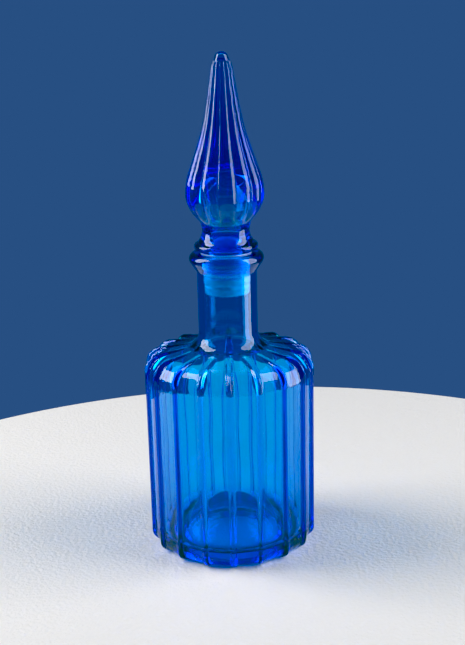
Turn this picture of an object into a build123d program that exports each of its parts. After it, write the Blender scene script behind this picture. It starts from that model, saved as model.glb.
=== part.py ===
from build123d import *

import math
import os

# Ribbed glass decanter with a spire stopper and a moulded plastic stopper sleeve.
# Units are millimetres, +Z is up, and the origin is the centre of the face it stands on.
# Three pieces: the blown bottle, the hollow glass stopper, and the plastic sleeve that
# fits over the stopper's shank and seals it in the bottle's neck.

# ---- driving dimensions: bottle ---------------------------------------------------
rib_count = 18               # ribs round the body, one at the front
rib_r = 1.7                  # radius of a rib's rounded crest
rib_proud = 1.4              # how far a rib stands above the wall
wall_top_r = 45.3            # outer radius between the ribs, under the shoulder
wall_foot_r = 45.2           # the same, at the heel
panel_relief = 0.5           # how far the middle of a flat panel lies inside that radius
shoulder_z = 102.0           # height where the wall turns into the shoulder
shoulder_bend = 7.9          # radius of that turn
shoulder_slope = 12.0        # degrees, slope of the cone between the turn and the neck
heel_bend = 6.5              # radius of the wall's turn into the base
rib_bend = 6.1               # radius of a rib's turn under the base, so that its toe stands out
rib_run_in = 2.5             # how far a rib runs on inside the base
rib_foot_gap = 0.2           # height of a rib's foot above the face it stands on
rib_fade = 1.3               # how much less a rib stands out where it meets the neck
wall_thick_foot = 4.9        # glass in the wall at the heel
wall_thick_top = 3.8         # glass in the wall under the shoulder
inner_slope = 15.5           # degrees, slope of the cone inside the shoulder, which thins inwards
inner_bend = 4.0             # radius of the turn from the wall to that cone
inner_turn_z = 103.5         # height where that turn starts
pushup_r = 30.0              # radius of the hollow under the base
pushup_h = 17.0              # height of that hollow
floor_thick = 5.5            # glass above the hollow
floor_r = 28.0               # radius of the floor's dome
ring_thick = 8.0             # glass above the ring it stands on
inner_heel_bend = 6.0        # radius between the inner wall and the floor
neck_r = 16.1                # outer radius of the neck
neck_blend = 9.0             # radius where the neck meets the shoulder
neck_top_z = 155.3           # height where the neck flares into the lip
bore_r = 12.7                # radius of the neck's bore
lip_r = 20.1                 # outer radius of the lip's bead
lip_bead = 3.2               # radius of the bead's section
lip_slope = 35.0             # degrees, lower end of the bead's round, below the horizontal
lip_z = 165.5                # height of the lip's top face
overshoot = 1.0              # how far a cutting or joining form runs past what it meets

# ---- driving dimensions: sleeve ---------------------------------------------------
sleeve_foot_z = 143.3        # underside of the closed end
sleeve_r = 12.1              # outer radius of the barrel
sleeve_bore_r = 11.0         # inner radius of the barrel
sleeve_floor = 1.2           # thickness of the closed end
sleeve_corner = 1.4          # round at the closed end
rim_r = 14.0                 # radius of the rim that rests on the lip
rim_thick = 0.8              # thickness of that rim
seal_gap = 0.07              # radial gap between the sealing band and the bore
seal_z = 149.9               # underside of the sealing band
seal_h = 3.2                 # height of the sealing band
ring_z = (146.4, 156.0, 159.6)  # undersides of the low rings
ring_h = 1.8                 # height of a low ring
ring_proud = 0.2             # how far a low ring stands out

# ---- driving dimensions: stopper --------------------------------------------------
shank_gap = 0.05             # radial gap between the shank and the sleeve
shank_lift = 0.4             # space between the shank's open end and the sleeve's floor
shank_wall = 2.6             # glass in the shank
flange_r = 17.1              # radius of the flange that rests on the sleeve's rim
flange_seat_r = 15.2         # radius of the flange's flat underside
flange_z = 168.7             # height of the flange's widest line
flange_round = (1.4, 2.2)    # how far in and how far up the flange's round ends
waist_r = 12.7               # radius of the waist
waist_z = 176.4              # height of the waist
collar_r = 13.2              # radius of the plain collar under the lobes
collar_z = 182.0             # height of the collar's top
collar_h = 1.6               # height of the collar's straight side
lobe_count = 12              # lobes round the spire
groove = 0.09                # depth of the grooves between them, as a share of the radius
waist_bore_r = 9.4           # radius of the hollow in the waist
bubble_r = 15.4              # radius of the hollow in the bulb
bubble_z = 196.5             # height where the hollow is widest
bubble_top_z = 213.0         # top of the hollow
# height and crest radius of the spire, from inside the collar to the foot of the tip
spire = (
    (collar_z - overshoot, 12.9),
    (187.0, 17.4),
    (193.0, 20.3),
    (198.5, 20.8),
    (205.5, 19.7),
    (215.0, 16.4),
    (228.0, 12.0),
    (241.0, 9.0),
    (254.0, 6.8),
    (261.0, 5.7),
    (264.8, 4.8),
)
tip_r = 4.1                  # radius of the plain tip where it leaves the lobes
tip_cap_r = 3.3              # radius where the tip's cone ends in a round cap
tip_cap_z = 267.6            # height of that line
tip_z = 269.9                # top of the stopper


def polar(radius, degrees, centre=(0.0, 0.0)):
    """The point at a radius and an angle from a centre."""
    angle = math.radians(degrees)
    return (centre[0] + radius * math.cos(angle), centre[1] + radius * math.sin(angle))


def cap_middle(radius, height, base_z=0.0):
    """The middle of the arc from a round cap's edge, at base_z, to its top."""
    sphere = (radius ** 2 + height ** 2) / (2 * height)
    half = math.asin(radius / sphere) / 2
    return (sphere * math.sin(half), base_z + height - sphere + sphere * math.cos(half))


# ---- bottle -----------------------------------------------------------------------
# The wall, the ribs and the inside all turn about the same centre at the shoulder.
bend_centre = (wall_top_r - shoulder_bend, shoulder_z)
bend_end = 90 - shoulder_slope
wall_taper = (wall_top_r - wall_foot_r) / shoulder_z


def wall_r(z):
    """Outer radius of the wall between the ribs, at a height."""
    return wall_foot_r + wall_taper * z


def cone_point(start, slope, x):
    """The point at radius x on the cone that rises inwards from a start at a slope in degrees."""
    start = Vector(start)
    return (x, start.Y + (start.X - x) * math.tan(math.radians(slope)))


with BuildPart() as rib:
    rib_line = shoulder_bend + rib_proud - rib_r
    rib_heel = rib_bend - rib_r
    rib_foot_x = wall_foot_r + rib_proud - rib_bend
    rib_foot_z = rib_foot_gap + rib_r
    with BuildLine(Plane.YZ) as rib_path:
        rib_turn_end = polar(rib_line, bend_end, bend_centre)
        rib_end = cone_point(rib_turn_end, shoulder_slope, neck_r - overshoot)
        Line((rib_end[0], rib_end[1] - rib_fade), rib_turn_end)
        ThreePointArc(
            rib_turn_end,
            polar(rib_line, bend_end / 2, bend_centre),
            polar(rib_line, 0, bend_centre),
        )
        Line(polar(rib_line, 0, bend_centre), (rib_foot_x + rib_heel, rib_foot_z + rib_heel))
        ThreePointArc(
            (rib_foot_x + rib_heel, rib_foot_z + rib_heel),
            polar(rib_heel, -45, (rib_foot_x, rib_foot_z + rib_heel)),
            (rib_foot_x, rib_foot_z),
        )
        Line((rib_foot_x, rib_foot_z), (rib_foot_x - rib_run_in, rib_foot_z))
    with BuildSketch(Plane(rib_path.line @ 0, z_dir=rib_path.line % 0)):
        Circle(rib_r)
    sweep(path=rib_path.line)

with BuildPart() as bottle:
    # the solid outer form
    with BuildSketch(Plane.XZ):
        with BuildLine():
            foot = Line((0, 0), (wall_foot_r - heel_bend, 0))
            heel = ThreePointArc(
                foot @ 1,
                polar(heel_bend, -45, (wall_foot_r - heel_bend, heel_bend)),
                (wall_foot_r, heel_bend),
            )
            wall = Line(heel @ 1, (wall_top_r, shoulder_z))
            turn = ThreePointArc(
                wall @ 1,
                polar(shoulder_bend, bend_end / 2, bend_centre),
                polar(shoulder_bend, bend_end, bend_centre),
            )
            FilletPolyline(
                turn @ 1,
                cone_point(turn @ 1, shoulder_slope, neck_r),
                (neck_r, neck_top_z),
                radius=neck_blend,
            )
            bead_centre = (lip_r - lip_bead, lip_z - lip_bead)
            flare = Line((neck_r, neck_top_z), polar(lip_bead, -lip_slope, bead_centre))
            bead = ThreePointArc(
                flare @ 1,
                (lip_r, bead_centre[1]),
                (bead_centre[0], lip_z),
            )
            Polyline(bead @ 1, (0, lip_z), (0, 0))
        make_face()
    revolve(axis=Axis.Z)

    # flat panels between the ribs: a tapered prism trims the round wall
    for level in (-overshoot, lip_z + overshoot):
        with BuildSketch(Plane.XY.offset(level)):
            RegularPolygon(wall_r(level) - panel_relief, rib_count, major_radius=False, rotation=90)
    loft(mode=Mode.INTERSECT)

    with PolarLocations(0, rib_count):
        add(rib.part)

    # the hollow under the base
    with BuildSketch(Plane.XZ):
        with BuildLine():
            dome = ThreePointArc((pushup_r, 0), cap_middle(pushup_r, pushup_h), (0, pushup_h))
            Polyline(dome @ 1, (0, 0), (pushup_r, 0))
        make_face()
    revolve(axis=Axis.Z, mode=Mode.SUBTRACT)

    # the inside, open through the neck
    with BuildSketch(Plane.XZ):
        with BuildLine():
            inner_end = 90 - inner_slope
            inner_centre = (wall_top_r - wall_thick_top - inner_bend, inner_turn_z)
            inner_r = wall_foot_r - wall_thick_foot
            inner_heel_x = inner_r - inner_heel_bend
            floor_top = (0, pushup_h + floor_thick)
            rise = ThreePointArc(
                floor_top,
                cap_middle(floor_r, floor_top[1] - ring_thick, ring_thick),
                (floor_r, ring_thick),
            )
            trough = Line(rise @ 1, (inner_heel_x, ring_thick))
            corner = ThreePointArc(
                trough @ 1,
                polar(inner_heel_bend, -45, (inner_heel_x, ring_thick + inner_heel_bend)),
                (inner_r, ring_thick + inner_heel_bend),
            )
            side = Line(corner @ 1, polar(inner_bend, 0, inner_centre))
            over = ThreePointArc(
                side @ 1,
                polar(inner_bend, inner_end / 2, inner_centre),
                polar(inner_bend, inner_end, inner_centre),
            )
            FilletPolyline(
                over @ 1,
                cone_point(over @ 1, inner_slope, bore_r),
                (bore_r, lip_z),
                radius=neck_blend,
            )
            Polyline((bore_r, lip_z), (0, lip_z), floor_top)
        make_face()
    revolve(axis=Axis.Z, mode=Mode.SUBTRACT)

bottle.part.label = "bottle"

# ---- sleeve -----------------------------------------------------------------------
with BuildPart() as stopper_sleeve:
    # a cup with a closed foot and a rim that rests on the lip
    with BuildSketch(Plane.XZ):
        with BuildLine():
            Polyline(
                (0, sleeve_foot_z),
                (sleeve_r, sleeve_foot_z),
                (sleeve_r, lip_z),
                (rim_r, lip_z),
                (rim_r, lip_z + rim_thick),
                (sleeve_bore_r, lip_z + rim_thick),
                (sleeve_bore_r, sleeve_foot_z + sleeve_floor),
                (0, sleeve_foot_z + sleeve_floor),
                close=True,
            )
        make_face()
    revolve(axis=Axis.Z)
    corner_edge = stopper_sleeve.edges().filter_by(GeomType.CIRCLE).group_by(Axis.Z)[0]
    fillet(corner_edge.sort_by(SortBy.RADIUS)[-1], sleeve_corner)

    # the sealing band and the low rings that grip the bore
    band_r = bore_r - seal_gap
    bands = [(seal_z, seal_h, band_r)]
    bands += [(z, ring_h, sleeve_r + ring_proud) for z in ring_z]
    for z, height, radius in bands:
        with BuildSketch(Plane.XY.offset(z)):
            Circle(radius)
            Circle(sleeve_bore_r, mode=Mode.SUBTRACT)
        extrude(amount=height)
    circles = stopper_sleeve.edges().filter_by(GeomType.CIRCLE)
    fillet(circles.filter_by(lambda edge: sleeve_r < edge.radius < bore_r), ring_proud / 2)

stopper_sleeve.part.label = "stopper_sleeve"

# ---- stopper ----------------------------------------------------------------------
shank_r = sleeve_bore_r - shank_gap
shank_foot_z = sleeve_foot_z + sleeve_floor + shank_lift
seat_z = lip_z + rim_thick
shank_bore_r = shank_r - shank_wall

with BuildPart() as stopper:
    # the lobed spire: each level is a ring of round lobes
    for z, crest_r in spire:
        with BuildSketch(Plane.XY.offset(z)):
            with BuildLine():
                step = 360 / lobe_count
                for number in range(lobe_count):
                    crest = 90 + step * number
                    ThreePointArc(
                        polar(crest_r * (1 - groove), crest - step / 2),
                        polar(crest_r, crest),
                        polar(crest_r * (1 - groove), crest + step / 2),
                    )
            make_face()
    loft()

    # the plain tip: a cone that continues the taper, with a round cap
    tip_base_z = spire[-1][0]
    with BuildSketch(Plane.XZ):
        with BuildLine():
            cone = Line((tip_r, tip_base_z), (tip_cap_r, tip_cap_z))
            nose = ThreePointArc(
                cone @ 1,
                cap_middle(tip_cap_r, tip_z - tip_cap_z, tip_cap_z),
                (0, tip_z),
            )
            Polyline(
                nose @ 1,
                (0, tip_base_z - overshoot),
                (tip_r, tip_base_z - overshoot),
                cone @ 0,
            )
        make_face()
    revolve(axis=Axis.Z)

    # collar, waist, flange and shank
    with BuildSketch(Plane.XZ):
        with BuildLine():
            Polyline(
                (0, shank_foot_z),
                (shank_r, shank_foot_z),
                (shank_r, seat_z),
                (flange_seat_r, seat_z),
            )
            edge = ThreePointArc(
                (flange_seat_r, seat_z),
                (flange_r, flange_z),
                (flange_r - flange_round[0], flange_z + flange_round[1]),
            )
            waist = Spline(edge @ 1, (waist_r, waist_z), (collar_r, collar_z - collar_h))
            Polyline(waist @ 1, (collar_r, collar_z), (0, collar_z), (0, shank_foot_z))
        make_face()
    revolve(axis=Axis.Z)

    # the hollow, open at the shank's foot
    with BuildSketch(Plane.XZ):
        with BuildLine():
            Line((shank_bore_r, shank_foot_z), (shank_bore_r, seat_z))
            Spline(
                (shank_bore_r, seat_z),
                (waist_bore_r, waist_z),
                (bubble_r, bubble_z),
                (0, bubble_top_z),
                tangents=((0, 1), (-1, 0)),
            )
            Polyline((0, bubble_top_z), (0, shank_foot_z), (shank_bore_r, shank_foot_z))
        make_face()
    revolve(axis=Axis.Z, mode=Mode.SUBTRACT)

stopper.part.label = "stopper"

# ---- files ------------------------------------------------------------------------
os.makedirs("parts", exist_ok=True)
for piece in (bottle.part, stopper_sleeve.part, stopper.part):
    export_step(piece, f"parts/{piece.label}.step")
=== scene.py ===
"""Looks of the ribbed glass decanter: blue glass, a moulded plastic sleeve, a plain table and soft light.

The three pieces are turned shapes. Each mesh is a stack of rings from one pole, over the outside,
to the pole of the hollow, so it is one closed skin. Sizes are in millimetres until a mesh is made.
"""

import math

import bmesh
import bpy
import numpy as np
from mathutils import Matrix, Vector


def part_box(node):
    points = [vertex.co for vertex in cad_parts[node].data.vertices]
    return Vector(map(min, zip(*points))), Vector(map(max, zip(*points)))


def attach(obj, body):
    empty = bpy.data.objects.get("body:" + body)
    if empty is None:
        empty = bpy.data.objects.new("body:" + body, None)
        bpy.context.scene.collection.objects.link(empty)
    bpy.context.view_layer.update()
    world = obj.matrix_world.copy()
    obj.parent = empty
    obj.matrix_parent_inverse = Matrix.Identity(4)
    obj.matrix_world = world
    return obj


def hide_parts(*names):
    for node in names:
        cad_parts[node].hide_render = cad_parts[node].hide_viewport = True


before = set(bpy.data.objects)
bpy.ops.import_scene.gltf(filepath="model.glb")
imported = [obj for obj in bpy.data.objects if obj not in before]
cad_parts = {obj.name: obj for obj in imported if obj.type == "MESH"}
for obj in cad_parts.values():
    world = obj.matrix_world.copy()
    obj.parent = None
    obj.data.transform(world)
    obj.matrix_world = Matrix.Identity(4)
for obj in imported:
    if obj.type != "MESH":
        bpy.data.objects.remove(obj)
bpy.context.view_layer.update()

MM = 0.001

# ---- places read from the frame ---------------------------------------------------
bottle_low, bottle_high = (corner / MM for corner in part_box("bottle"))
sleeve_low, sleeve_high = (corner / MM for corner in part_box("stopper_sleeve"))
stopper_low, stopper_high = (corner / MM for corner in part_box("stopper"))

lip_z = bottle_high.z
crest_top_r = bottle_high.y          # a rib faces each way along Y
sleeve_foot_z = sleeve_low.z
seat_z = sleeve_high.z
rim_r = sleeve_high.x
shank_foot_z = stopper_low.z
tip_z = stopper_high.z

# ---- bottle -----------------------------------------------------------------------
rib_count = 18
rib_proud = 1.4
rib_r = 1.7
rib_fillet = 0.9
rib_columns = 20                     # mesh columns across a rib
panel_columns = 10                   # and across the panel beside it
wall_r = crest_top_r - rib_proud
shoulder_z = 102.0
shoulder_bend = 7.9
panel_bend = 12.0                    # the panels turn more gently than the ribs
shoulder_slope = 12.0
heel_bend = 6.5
rib_foot_gap = 0.2
crest_bend = 6.1                     # radius of a rib's turn under the base
rib_at_cone = 0.7                    # share of a rib's height left at the top of the shoulder's turn
rib_at_neck = 0.05                   # and where it meets the neck
wall_thick = (4.9, 4.2)              # glass in the wall, at the heel and under the shoulder
pushup_r = 30.0
pushup_h = 17.0
pushup_edge = 1.5
pushup_edge_start = 0.3              # where the edge's bevel starts, as a share of its width
pushup_edge_h = 0.25                 # and how high it starts
floor_thick = 5.5
floor_r = 28.0
ring_thick = 6.5
trough_rise = 0.35                   # how far the floor rises halfway from the wall to the dome
inner_heel_bend = 6.0
inner_slope = 15.5
inner_bend = 12.0
inner_turn_z = 97.5
neck_r = 16.1
neck_blend = 9.0
neck_top_z = 155.3
bore_r = 12.7
mouth_round = 0.4
lip_r = 20.1
lip_bead = 3.2
lip_slope = 35.0
flare_run = 1.2                      # length of the soft corner under the lip, each way
flare_middle = (0.12, -0.1)          # its middle, out and up from the sharp corner
ripple = 0.04                        # waviness of the inside
swell = 0.10                         # how far the inside swells behind each rib
swell_spread = 2.6                   # distance from a rib's middle where that is down to 37 percent
ripple_fade = 12.0                   # both grow to full over this distance out from the bore

# ---- stopper ----------------------------------------------------------------------
lobe_count = 12
lobe_columns = 20
lobe_turn = 3.5                      # degrees that the front lobe stands to the right
groove = 0.09                        # depth of the valleys, as a share of the crest's radius
groove_fade = 4.0                    # the valleys run out over this height above the collar
valley_pinch = 0.97                  # the valleys draw in by this where they reach the tip
shank_r = 10.95
shank_wall = 2.6
shank_round = 1.0
shank_root = 0.4                     # round between the shank and the flange's seat
flange_r = 17.1
flange_seat_r = 15.2
flange_seat_trim = 0.5               # the flat seat ends this far inside that
flange_edge_r = 2.0                  # round of the flange's edge
flange_edge_up = 0.3
flange_top = (-1.4, 2.2)             # where the waist's curve meets the flange, from its widest
flange_z = 168.7
waist_r = 12.7
waist_z = 176.4
collar_r = 13.2
collar_z = 182.0
waist_bore_r = 9.4
bubble_r = 15.4
bubble_z = 196.5
bubble_top_z = 213.0
# height and crest radius of the spire, upwards from the collar
spire = (
    (collar_z, 13.2),
    (187.0, 17.4),
    (193.0, 20.3),
    (198.5, 20.8),
    (205.5, 19.7),
    (215.0, 16.4),
    (228.0, 12.0),
    (241.0, 9.0),
    (254.0, 6.8),
    (261.0, 5.7),
    (264.0, 5.0),
)
tip_r = 4.1
tip_foot_z = 265.4
tip_cap_r = 3.3
tip_cap_z = 267.6

# ---- sleeve -----------------------------------------------------------------------
sleeve_r = 12.1
sleeve_bore_r = 11.0
sleeve_floor = 1.2
sleeve_corner = 1.4
sleeve_root = 0.5                    # round under the rim
sleeve_edge = 0.3                    # bevel at the mouth of the sleeve
sleeve_floor_edge = 0.5              # bevel at the foot of its bore
seal_r = bore_r - 0.07
seal_z = 149.9
seal_h = 3.2
ring_z = (146.4, 156.0, 159.6)
ring_h = 1.8
ring_proud = 0.2

# ---- glass, light and camera ------------------------------------------------------
glass_ior = 1.52
glass_specular = 0.35                # below the physical 0.5, so that reflections don't hide the blue
glass_absorption = (850.0, 130.0, 10.0)   # per metre, for red, green and blue
plastic_colour = (0.96, 0.98, 0.99)
table_colour = (0.77, 0.75, 0.59)
wall_colour = (0.0693, 0.0782, 0.1968)    # the wall behind, and the surround
light_target = (0.0, 0.0, 0.12)      # both lights face the foot of the neck, in metres
camera_place = (0.0024, -0.5772, 0.2942)
camera_pitch = 16.27
camera_roll = -1.4
camera_lens = 61.4


# ---- outlines: lists of (radius, height) ------------------------------------------
def arc(centre, radius, start, end, steps=10):
    """Points on an arc, from a start to an end angle in degrees."""
    angles = np.radians(np.linspace(start, end, steps + 1))
    return [(centre[0] + radius * math.cos(a), centre[1] + radius * math.sin(a)) for a in angles]


def line(start, end, steps=1):
    """Points on a straight line, both ends included."""
    return [tuple(p) for p in np.linspace(start, end, steps + 1)]


def cap(radius, height, base_z, steps=12):
    """A round cap from its rim at base_z up to its pole on the axis."""
    sphere = (radius ** 2 + height ** 2) / (2 * height)
    half = math.degrees(math.asin(radius / sphere))
    return arc((0, base_z + height - sphere), sphere, 90 - half, 90, steps)


def spline(points, steps=8, start=None, end=None):
    """A smooth curve through the points, with optional directions at its ends."""
    p = np.array(points, float)
    slope = np.gradient(p, axis=0)
    if start is not None:
        slope[0] = np.array(start) * np.linalg.norm(p[1] - p[0])
    if end is not None:
        slope[-1] = np.array(end) * np.linalg.norm(p[-1] - p[-2])
    out = []
    for i in range(len(p) - 1):
        for t in np.linspace(0, 1, steps, endpoint=False):
            h = (2 * t ** 3 - 3 * t ** 2 + 1, t ** 3 - 2 * t ** 2 + t,
                 3 * t ** 2 - 2 * t ** 3, t ** 3 - t ** 2)
            out.append(tuple(h[0] * p[i] + h[1] * slope[i] + h[2] * p[i + 1] + h[3] * slope[i + 1]))
    return out + [tuple(p[-1])]


# ---- meshes -----------------------------------------------------------------------
def skin(name, radius, height, angle):
    """A closed mesh from rings: rows are rings from pole to pole, columns go round."""
    x = radius * np.cos(angle) * MM
    y = radius * np.sin(angle) * MM
    z = height * MM
    rows, columns = x.shape
    points = np.stack([x, y, z], -1)
    poles = [points[0].mean(0), points[-1].mean(0)]
    points = points[1:-1].reshape(-1, 3)
    top = len(points)
    j = np.arange(columns)
    k = (j + 1) % columns
    faces = []
    for i in range(rows - 3):
        a = i * columns
        b = a + columns
        faces += np.stack([a + j, b + j, b + k, a + k], -1).tolist()
    last = (rows - 3) * columns
    faces += [(top, int(p), int(q)) for p, q in zip(j, k)]
    faces += [(top + 1, int(last + q), int(last + p)) for p, q in zip(j, k)]
    mesh = bpy.data.meshes.new(name)
    mesh.from_pydata(np.vstack([points, poles]).tolist(), [], faces)
    turned = bmesh.new()
    turned.from_mesh(mesh)
    if turned.calc_volume(signed=True) < 0:
        bmesh.ops.reverse_faces(turned, faces=turned.faces)
    turned.to_mesh(mesh)
    turned.free()
    mesh.shade_smooth()
    piece = bpy.data.objects.new(name, mesh)
    bpy.context.scene.collection.objects.link(piece)
    return piece


def smooth_step(x):
    x = np.clip(x, 0, 1)
    return x * x * (3 - 2 * x)


# ---- bottle -----------------------------------------------------------------------
def rib_section(d):
    """Height of a rib, as a share of its full height, at a distance d from its middle."""
    middle = rib_proud - rib_r
    fillet_x = math.sqrt((rib_r + rib_fillet) ** 2 - (rib_fillet - middle) ** 2)
    meet_x = fillet_x * rib_r / (rib_r + rib_fillet)
    crest = middle + np.sqrt(np.maximum(rib_r ** 2 - d ** 2, 0))
    root = rib_fillet - np.sqrt(np.maximum(rib_fillet ** 2 - (fillet_x - d) ** 2, 0))
    height = np.where(d < meet_x, crest, np.where(d < fillet_x, root, 0))
    return height / rib_proud, fillet_x


def bottle_outline():
    """Rings of the bottle as rows of (wall r, wall z, rib dr, rib dz, facet share, inside share)."""
    bend_x = wall_r - shoulder_bend
    slope = math.radians(shoulder_slope)
    bend_end = 90 - shoulder_slope
    heel_x = wall_r - heel_bend
    rows = []

    def add(points, rib=(0, 0), facet=(0, 0), inside=0, crest=None):
        for number, (r, z) in enumerate(points):
            t = number / max(len(points) - 1, 1)
            share = rib[0] + (rib[1] - rib[0]) * t
            dr, dz = (0, 0)
            if crest is not None:
                dr, dz = (crest[number][0] - r) * share, (crest[number][1] - z) * share
            rows.append((r, z, dr, dz, facet[0] + (facet[1] - facet[0]) * t, inside))

    def moved(points, dr, dz):
        return [(r + dr, z + dz) for r, z in points]

    # under the base: the hollow, its edge, and the ring it stands on
    dome = cap(pushup_r, pushup_h, 0, 24)[::-1][:-1]
    add(dome)
    add(line((pushup_r + pushup_edge * pushup_edge_start, pushup_edge_h), (pushup_r + pushup_edge, 0), 3))
    ring = line((pushup_r + pushup_edge, 0), (heel_x, 0), 6)[1:-1]
    add(ring, facet=(0, 1))
    # heel, wall, shoulder, cone and neck blend, with the ribs' crest line beside them
    heel = arc((heel_x, heel_bend), heel_bend, -90, 0, 16)
    crest_x = wall_r + rib_proud - crest_bend
    crest = arc((crest_x, rib_foot_gap + crest_bend), crest_bend, -90, 0, 16)
    add(heel, rib=(1, 1), facet=(1, 1), crest=crest)
    cone_x = bend_x + shoulder_bend * math.sin(slope)
    cone_z = shoulder_z + shoulder_bend * math.cos(slope)
    panel_x = wall_r - panel_bend
    panel_z = cone_z + (cone_x - panel_x) * math.tan(slope) - panel_bend / math.cos(slope)
    wall = line((wall_r, heel_bend), (wall_r, panel_z), 40)[1:]
    crest_r = wall_r + rib_proud
    crest_wall = line((crest_r, rib_foot_gap + crest_bend), (crest_r, shoulder_z), 40)[1:]
    add(wall, rib=(1, 1), facet=(1, 1), crest=crest_wall)
    turn = arc((panel_x, panel_z), panel_bend, 0, bend_end, 20)[1:]
    crest_turn = arc((bend_x, shoulder_z), shoulder_bend + rib_proud, 0, bend_end, 20)[1:]
    add(turn, rib=(1, rib_at_cone), facet=(1, 1), crest=crest_turn)
    # the cone runs to the neck's blend, which is tangent to both
    tangent = neck_blend * math.tan((math.radians(90) - slope) / 2)
    cone_end_r = neck_r + tangent * math.cos(slope)
    cone_end_z = turn[-1][1] + (turn[-1][0] - cone_end_r) * math.tan(slope)
    cone = line(turn[-1], (cone_end_r, cone_end_z), 14)[1:]
    lean = (rib_proud * math.sin(slope), rib_proud * math.cos(slope))
    add(cone, rib=(rib_at_cone, rib_at_neck), facet=(1, 0.3), crest=moved(cone, *lean))
    blend_z = cone_end_z + neck_blend * math.cos(slope)
    blend_at = (neck_r + neck_blend, blend_z)
    blend = arc(blend_at, neck_blend, 270 - shoulder_slope, 180, 14)[1:]
    crest_blend = arc(blend_at, neck_blend - rib_proud, 270 - shoulder_slope, 180, 14)[1:]
    add(blend, rib=(rib_at_neck, 0), facet=(0.3, 0), crest=crest_blend)
    # neck, lip and mouth
    bead = (lip_r - lip_bead, lip_z - lip_bead)
    under_bead = arc(bead, lip_bead, -lip_slope, 90, 18)
    toward = Vector((under_bead[0][0] - neck_r, under_bead[0][1] - neck_top_z)).normalized() * flare_run
    flare = spline([(neck_r, neck_top_z - flare_run),
                    (neck_r + flare_middle[0], neck_top_z + flare_middle[1]),
                    (neck_r + toward.x, neck_top_z + toward.y)], 3, start=(0, 1))
    add(line(blend[-1], flare[0], 12)[1:])
    add(flare[1:])
    add(under_bead)
    add(line(under_bead[-1], (bore_r + mouth_round, lip_z), 4)[1:])
    add(arc((bore_r + mouth_round, lip_z - mouth_round), mouth_round, 90, 180, 5)[1:])
    # the bore, then the inside of the shoulder, the wall and the floor
    inner_r = wall_r - wall_thick[0]
    slope = math.radians(inner_slope)
    inner_turn_x = wall_r - wall_thick[1] - inner_bend
    inner_turn = arc((inner_turn_x, inner_turn_z), inner_bend, 90 - inner_slope, 0, 20)
    inner_blend = neck_blend
    tangent = inner_blend * math.tan((math.radians(90) - slope) / 2)
    inner_end_r = bore_r + tangent * math.cos(slope)
    inner_end_z = inner_turn[0][1] + (inner_turn[0][0] - inner_end_r) * math.tan(slope)
    inner_blend_z = inner_end_z + inner_blend * math.cos(slope)
    throat = arc((bore_r + inner_blend, inner_blend_z), inner_blend, 180, 270 - inner_slope, 10)
    add(line((bore_r, lip_z - mouth_round), throat[0], 14)[1:], inside=1)
    add(throat[1:], inside=1)
    add(line((inner_end_r, inner_end_z), inner_turn[0], 8)[1:], inside=1)
    add(inner_turn[1:], inside=1)
    inner_heel = arc((inner_r - inner_heel_bend, ring_thick + inner_heel_bend), inner_heel_bend, 0, -90, 10)
    add(line(inner_turn[-1], inner_heel[0], 40)[1:], inside=1)
    add(inner_heel[1:], inside=1)
    floor_cap = cap(floor_r, pushup_h + floor_thick - ring_thick, ring_thick, 20)
    halfway = ((inner_heel[-1][0] + floor_cap[2][0]) / 2, ring_thick + trough_rise)
    trough = spline([inner_heel[-1], halfway, floor_cap[2]], 5, start=(-1, 0))
    add(trough[1:], inside=1)
    add(floor_cap[3:], inside=1)
    return np.array(rows)


def make_bottle():
    rows = bottle_outline()
    r, z, rib_dr, rib_dz, facet, inside = (rows[:, i:i + 1] for i in range(6))
    _, rib_width = rib_section(np.zeros(1))
    half_turn = math.pi / rib_count
    # columns of one sector, from the middle of a panel over a rib to the next panel
    across = np.linspace(-1, 1, rib_columns + 1)
    beside = np.linspace(0, 1, panel_columns // 2, endpoint=False)
    size = np.maximum(r, rib_width * 1.3 / half_turn)
    rib_angle = rib_width / size
    columns = []
    for start in range(rib_count):
        middle = math.radians(90) + start * 2 * half_turn
        gap = half_turn - rib_angle
        for b in beside:
            columns.append((middle - half_turn + gap * b, half_turn - gap * b))
        for a in across[:-1]:
            columns.append((middle + rib_angle * a, rib_angle * abs(a)))
        for b in beside:
            columns.append((middle + rib_angle + gap * b, rib_angle + gap * b))
    angle = np.hstack([c[0] for c in columns])
    off = np.hstack([c[1] for c in columns])
    share, _ = rib_section(off * size)
    flat = math.cos(half_turn) / np.cos(half_turn - off)
    around = r * (1 - facet * (1 - flat)) + rib_dr * share
    height = z + rib_dz * share
    # the inside isn't perfectly round: a soft ripple, and a shallow swell behind each rib
    wave = (np.sin(3 * angle + z / 9.0)
            + np.sin(7 * angle - z / 13.0 + 1.0)
            + 0.6 * np.sin(13 * angle + z / 6.0 + 2.2))
    behind_rib = swell * np.exp(-(off * size / swell_spread) ** 2)
    calm = smooth_step((r - bore_r) / ripple_fade)
    around = around + inside * calm * (ripple * wave + behind_rib)
    return skin("bottle_glass", around, height * np.ones_like(angle), angle)


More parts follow.
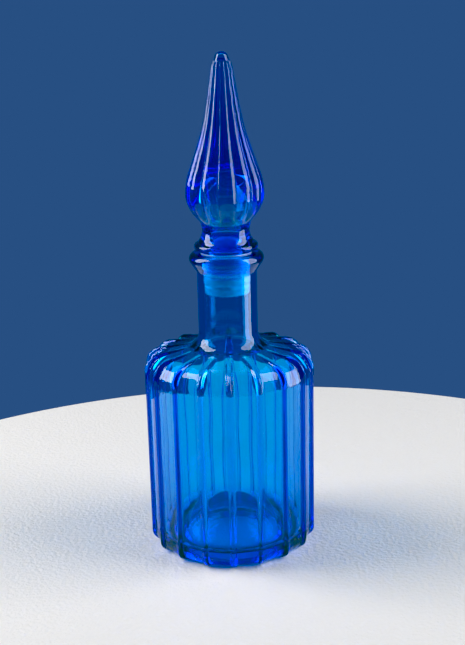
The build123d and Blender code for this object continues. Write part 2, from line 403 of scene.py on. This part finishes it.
# ---- stopper ----------------------------------------------------------------------
def make_stopper():
    """Rows of (crest r, crest z, valley r, valley z)."""
    rows = []

    def add(points, valley=None):
        for number, (r, z) in enumerate(points):
            vr, vz = valley[number] if valley is not None else (r, z)
            rows.append((r, z, vr, vz))

    nose = cap(tip_cap_r, tip_z - tip_cap_z, tip_cap_z, 10)[::-1]
    add(nose)
    add(line(nose[-1], (tip_r, tip_foot_z), 4)[1:])
    # lobes: each ends in a round shoulder round the tip
    crest_top = arc((tip_r, spire[-1][0]), spire[-1][1] - tip_r, 90, 0, 8)
    valley_top = line((tip_r, tip_foot_z), (spire[-1][1] * (1 - groove) * valley_pinch, spire[-1][0]), 8)
    lift = tip_foot_z - crest_top[0][1]
    crest_top = [(r, z + lift * (1 - i / 8) ** 2) for i, (r, z) in enumerate(crest_top)]
    add(crest_top[1:], valley_top[1:])
    crest = spline([(r, z) for z, r in spire[::-1]], 10)[1:]
    depth = [groove * (1 - smooth_step((collar_z + groove_fade - z) / groove_fade)) for r, z in crest]
    add(crest, [(r * (1 - d), z) for (r, z), d in zip(crest, depth)])
    # collar, waist and flange
    flange_meet = (flange_r + flange_top[0], flange_z + flange_top[1])
    add(spline([(collar_r, collar_z), (waist_r, waist_z), flange_meet], 12,
               start=(-0.1, -1), end=(1, -0.8))[1:])
    add(arc((flange_r - flange_edge_r, flange_z + flange_edge_up), flange_edge_r, 50, -65, 12))
    add(line((flange_seat_r - flange_seat_trim, seat_z), (shank_r + shank_root, seat_z), 3))
    # shank, its round foot, and the hollow
    add(arc((shank_r + shank_root, seat_z - shank_root), shank_root, 90, 180, 3)[1:])
    add(line((shank_r, seat_z - shank_root), (shank_r, shank_foot_z + shank_round), 8)[1:])
    add(arc((shank_r - shank_round, shank_foot_z + shank_round), shank_round, 0, -90, 6)[1:])
    bore = shank_r - shank_wall
    add(arc((bore + shank_round, shank_foot_z + shank_round), shank_round, -90, -180, 6)[1:])
    add(line((bore, shank_foot_z + shank_round), (bore, seat_z), 8)[1:])
    add(spline([(bore, seat_z), (waist_bore_r, waist_z), (bubble_r, bubble_z), (0, bubble_top_z)], 24,
               start=(0, 1), end=(-1, 0))[1:])
    rows = np.array(rows)
    step = 2 * math.pi / lobe_count
    lobe = np.linspace(-0.5, 0.5, lobe_columns, endpoint=False)
    # a lobe is an arc across its step, from valley over crest to valley
    chord = (1 - groove) * math.sin(step / 2)
    bulge = 1 - (1 - groove) * math.cos(step / 2)
    lobe_r = (chord ** 2 + bulge ** 2) / (2 * bulge)
    centre = 1 - lobe_r
    a = lobe * step
    reach = centre * np.cos(a) + np.sqrt(np.maximum(lobe_r ** 2 - (centre * np.sin(a)) ** 2, 0))
    share = (reach - (1 - groove)) / groove
    front = math.radians(-90 + lobe_turn)
    angle = np.concatenate([front + n * step + a for n in range(lobe_count)])
    share = np.tile(share, lobe_count)
    radius = rows[:, 2:3] + (rows[:, 0:1] - rows[:, 2:3]) * share
    height = rows[:, 3:4] + (rows[:, 1:2] - rows[:, 3:4]) * share
    return skin("stopper_glass", radius, height, np.tile(angle, (len(rows), 1)))


# ---- sleeve -----------------------------------------------------------------------
def make_sleeve():
    outline = [(0, sleeve_foot_z)]
    outline += arc((sleeve_r - sleeve_corner, sleeve_foot_z + sleeve_corner), sleeve_corner, -90, 0, 6)
    bands = sorted([(seal_z, seal_h, seal_r)] + [(z, ring_h, sleeve_r + ring_proud) for z in ring_z])
    for z, height, radius in bands:
        ease = (radius - sleeve_r) * 0.8 + 0.1
        corner_r = sleeve_r + (radius - sleeve_r) * 0.75
        outline += [(sleeve_r, z - ease), (corner_r, z), (radius, z + ease * 0.7)]
        outline += [(radius, z + height - ease * 0.7), (corner_r, z + height)]
        outline += [(sleeve_r, z + height + ease)]
    rim_thick = seat_z - lip_z
    outline += [(sleeve_r, lip_z - sleeve_root)]
    outline += arc((sleeve_r + sleeve_root, lip_z - sleeve_root), sleeve_root, 180, 90, 3)[1:]
    outline += arc((rim_r - rim_thick / 2, lip_z + rim_thick / 2), rim_thick / 2, -90, 90, 8)
    floor_z = sleeve_foot_z + sleeve_floor
    outline += [(sleeve_bore_r + sleeve_edge, seat_z), (sleeve_bore_r, seat_z - sleeve_edge)]
    outline += line(outline[-1], (sleeve_bore_r, floor_z + sleeve_floor_edge), 8)[1:]
    outline += [(sleeve_bore_r - sleeve_floor_edge, floor_z), (0, floor_z)]
    rows = np.array(outline)
    angle = np.linspace(0, 2 * math.pi, 96, endpoint=False)
    angle = np.tile(angle, (len(rows), 1))
    ones = np.ones_like(angle)
    return skin("sleeve_plastic", rows[:, 0:1] * ones, rows[:, 1:2] * ones, angle)


# ---- materials --------------------------------------------------------------------
def new_material(name):
    """A node material with its Principled shader."""
    material = bpy.data.materials.new(name)
    material.use_nodes = True
    return material, material.node_tree, material.node_tree.nodes["Principled BSDF"]


def add_bump(tree, shader, scale, height, detail=3.0, stretch=(1, 1, 1)):
    """A fine unevenness of the surface, from noise in the object's own space."""
    place = tree.nodes.new("ShaderNodeTexCoord")
    turn = tree.nodes.new("ShaderNodeMapping")
    turn.inputs["Scale"].default_value = stretch
    noise = tree.nodes.new("ShaderNodeTexNoise")
    noise.inputs["Scale"].default_value = scale
    noise.inputs["Detail"].default_value = detail
    bump = tree.nodes.new("ShaderNodeBump")
    bump.inputs["Strength"].default_value = 1.0
    bump.inputs["Distance"].default_value = height
    tree.links.new(place.outputs["Object"], turn.inputs["Vector"])
    tree.links.new(turn.outputs["Vector"], noise.inputs["Vector"])
    tree.links.new(noise.outputs["Fac"], bump.inputs["Height"])
    tree.links.new(bump.outputs["Normal"], shader.inputs["Normal"])


def blue_glass():
    """Clear on its surface and blue all through, so that thick places are darker."""
    material, tree, shader = new_material("blue_glass")
    shader.inputs["Base Color"].default_value = (1, 1, 1, 1)
    shader.inputs["Roughness"].default_value = 0.0
    shader.inputs["IOR"].default_value = glass_ior
    shader.inputs["Specular IOR Level"].default_value = glass_specular
    shader.inputs["Transmission Weight"].default_value = 1.0
    volume = tree.nodes.new("ShaderNodeVolumeAbsorption")
    density = max(glass_absorption)
    volume.inputs["Color"].default_value = (*(1 - a / density for a in glass_absorption), 1)
    volume.inputs["Density"].default_value = density
    tree.links.new(volume.outputs["Volume"], tree.nodes["Material Output"].inputs["Volume"])
    add_bump(tree, shader, 60.0, 0.00006, 1.0, (1, 1, 0.4))
    return material


def moulded_plastic():
    """Natural polyethylene: milky, soft, with faint moulding marks."""
    material, tree, shader = new_material("clear_plastic")
    shader.inputs["Base Color"].default_value = (*plastic_colour, 1)
    shader.inputs["Roughness"].default_value = 0.35
    shader.inputs["IOR"].default_value = 1.51
    shader.inputs["Subsurface Weight"].default_value = 0.3
    shader.inputs["Subsurface Radius"].default_value = (1.0, 1.0, 1.0)
    shader.inputs["Subsurface Scale"].default_value = 0.002
    add_bump(tree, shader, 900.0, 0.00002, 2.0, (1, 1, 3))
    return material


def table_top():
    """A plain pale painted top with a fine stipple."""
    material, tree, shader = new_material("table")
    shader.inputs["Base Color"].default_value = (*table_colour, 1)
    shader.inputs["Roughness"].default_value = 0.55
    add_bump(tree, shader, 420.0, 0.0007, 2.0)
    return material


# ---- stage ------------------------------------------------------------------------
def add_table():
    """A round table top, its upper face at the bottle's foot. Sizes here are in metres."""
    radius = 0.347
    thick = 0.024
    edge = 0.004
    centre = (0.020, -0.097)
    outline = [(0, 0), (radius / 2, 0)]
    outline += arc((radius - edge, -edge), edge, 90, 0, 6)
    outline += arc((radius - edge, edge - thick), edge, 0, -90, 6)
    outline += [(0, -thick)]
    rows = np.array(outline) / MM
    angle = np.tile(np.linspace(0, 2 * math.pi, 240, endpoint=False), (len(rows), 1))
    ones = np.ones_like(angle)
    table = skin("table", rows[:, 0:1] * ones, rows[:, 1:2] * ones, angle)
    table.data.transform(Matrix.Translation((*centre, bottle_low.z * MM)))
    table.data.materials.append(table_top())


def add_softbox(name, azimuth, elevation, distance, width, height, power):
    """A soft rectangular light. Azimuth 0 is in front, 90 is to the right."""
    target = Vector(light_target)
    a, e = math.radians(azimuth), math.radians(elevation)
    away = Vector((math.sin(a) * math.cos(e), -math.cos(a) * math.cos(e), math.sin(e)))
    data = bpy.data.lights.new(name, "AREA")
    data.shape = "RECTANGLE"
    data.size = width
    data.size_y = height
    data.energy = power
    light = bpy.data.objects.new(name, data)
    light.location = target + away * distance
    light.rotation_euler = away.to_track_quat("Z", "Y").to_euler()
    light.visible_camera = False
    bpy.context.scene.collection.objects.link(light)


def add_world():
    """The dark blue wall behind, as an even surround."""
    world = bpy.data.worlds.new("wall")
    world.use_nodes = True
    world.node_tree.nodes["Background"].inputs["Color"].default_value = (*wall_colour, 1)
    world.node_tree.nodes["Background"].inputs["Strength"].default_value = 1.0
    bpy.context.scene.world = world


def add_camera():
    data = bpy.data.cameras.new("camera")
    data.lens = camera_lens
    camera = bpy.data.objects.new("camera", data)
    pitch = Matrix.Rotation(math.radians(90 - camera_pitch), 4, "X")
    roll = Matrix.Rotation(math.radians(camera_roll), 4, "Z")
    camera.matrix_world = Matrix.Translation(camera_place) @ pitch @ roll
    bpy.context.scene.collection.objects.link(camera)
    bpy.context.scene.camera = camera


# ---- the decanter -----------------------------------------------------------------
glass = blue_glass()
for piece, node, body, slot, material in (
    (make_bottle(), "bottle", "bottle_body", "blue_glass", glass),
    (make_stopper(), "stopper", "stopper_body", "blue_glass", glass),
    (make_sleeve(), "stopper_sleeve", "sleeve_body", "clear_plastic", moulded_plastic()),
):
    piece.data.materials.append(material)
    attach(piece, body)
    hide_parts(node)

add_table()
add_world()
add_softbox("left_window", -98, 32, 1.2, 0.70, 1.30, 20.0)
add_softbox("right_window", 86, 20, 1.2, 0.85, 2.00, 25.0)
add_camera()

scene = bpy.context.scene
# the view takes out a little red and lifts the blue; the materials don't depend on it
scene.view_settings.view_transform = "Standard"
scene.view_settings.use_curve_mapping = True
scene.view_settings.curve_mapping.black_level = (0.05, 0, 0)
scene.view_settings.curve_mapping.white_level = (1, 1, 0.88)
scene.cycles.use_denoising = True
scene.cycles.max_bounces = 24
scene.cycles.transmission_bounces = 24
scene.cycles.glossy_bounces = 8
scene.cycles.caustics_refractive = True
scene.cycles.caustics_reflective = True
scene.cycles.blur_glossy = 0.0
scene.cycles.sample_clamp_indirect = 0.0
